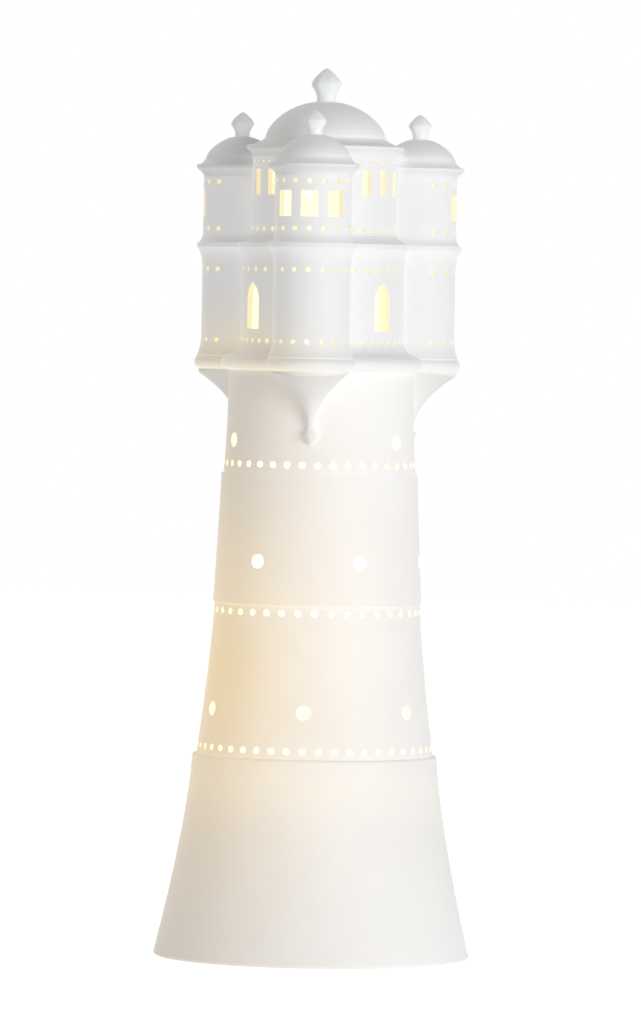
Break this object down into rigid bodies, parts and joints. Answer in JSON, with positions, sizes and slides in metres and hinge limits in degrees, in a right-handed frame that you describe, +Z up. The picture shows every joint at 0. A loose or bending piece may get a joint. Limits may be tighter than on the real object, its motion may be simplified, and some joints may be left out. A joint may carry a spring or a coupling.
{
  "type": "lighthouse table lamp",
  "caption": "White unglazed porcelain table lamp shaped as a turreted lighthouse, with pierced windows and holes; the shell lifts off a base pan that carries a screw bulb.",
  "frame": {"origin": "centre of the foot circle, on the table", "axes": "+Z up the tower's axis, -Y through the front oriel, +X to the right seen from the front"},
  "size_m": [0.128, 0.1277, 0.36],
  "materials": {
    "bisque_porcelain": "unglazed matte, translucent",
    "white_moulding": "fine matte",
    "grey_rubber": "matte",
    "dark_rubber": "matte",
    "zinc_steel": "zinc plated",
    "holder_moulding": "smooth satin",
    "ivory_insulator": "matte",
    "contact_brass": "bright",
    "warm_glass": "frosted inside",
    "bulb_metal": "rolled",
    "black_insulator": "smooth",
    "clear_glass": "clear",
    "filament_wire": "glowing"
  },
  "bodies": {
    "base": {"base_pan": "white_moulding", "front_foot": "grey_rubber", "right_foot": "grey_rubber", "left_foot": "grey_rubber", "lead_bush": "dark_rubber", "stem": "zinc_steel", "stem_washer": "zinc_steel", "stem_nut": "zinc_steel", "holder_cap": "holder_moulding", "holder_insert": "ivory_insulator", "holder_shell": "holder_moulding", "holder_sleeve": "contact_brass", "centre_contact": "contact_brass", "side_contact": "contact_brass", "terminal_screws": "contact_brass"},
    "shell": {"skirt": "bisque_porcelain", "lower_shaft": "bisque_porcelain", "middle_shaft": "bisque_porcelain", "upper_shaft": "bisque_porcelain", "watch_room": "bisque_porcelain", "lantern_room": "bisque_porcelain", "front_corbel": "bisque_porcelain", "right_corbel": "bisque_porcelain", "left_corbel": "bisque_porcelain", "front_oriel_roof": "bisque_porcelain", "right_oriel_roof": "bisque_porcelain", "left_oriel_roof": "bisque_porcelain", "front_oriel_finial": "bisque_porcelain", "right_oriel_finial": "bisque_porcelain", "left_oriel_finial": "bisque_porcelain", "main_dome": "bisque_porcelain", "main_finial": "bisque_porcelain"},
    "bulb": {"bulb_glass": "warm_glass", "bulb_cap": "bulb_metal", "bulb_insulator": "black_insulator", "bulb_contact": "bulb_metal", "bulb_mount": "clear_glass", "filament": "filament_wire"}
  },
  "joints": [
    {"name": "shell_lift", "type": "slide", "parent": "base", "child": "shell", "axis": [0, 0, 1], "range_m": [0, 0.2]},
    {"name": "bulb_unscrew", "type": "slide", "parent": "base", "child": "bulb", "axis": [0, 0, 1], "range_m": [0, 0.03]}
  ]
}
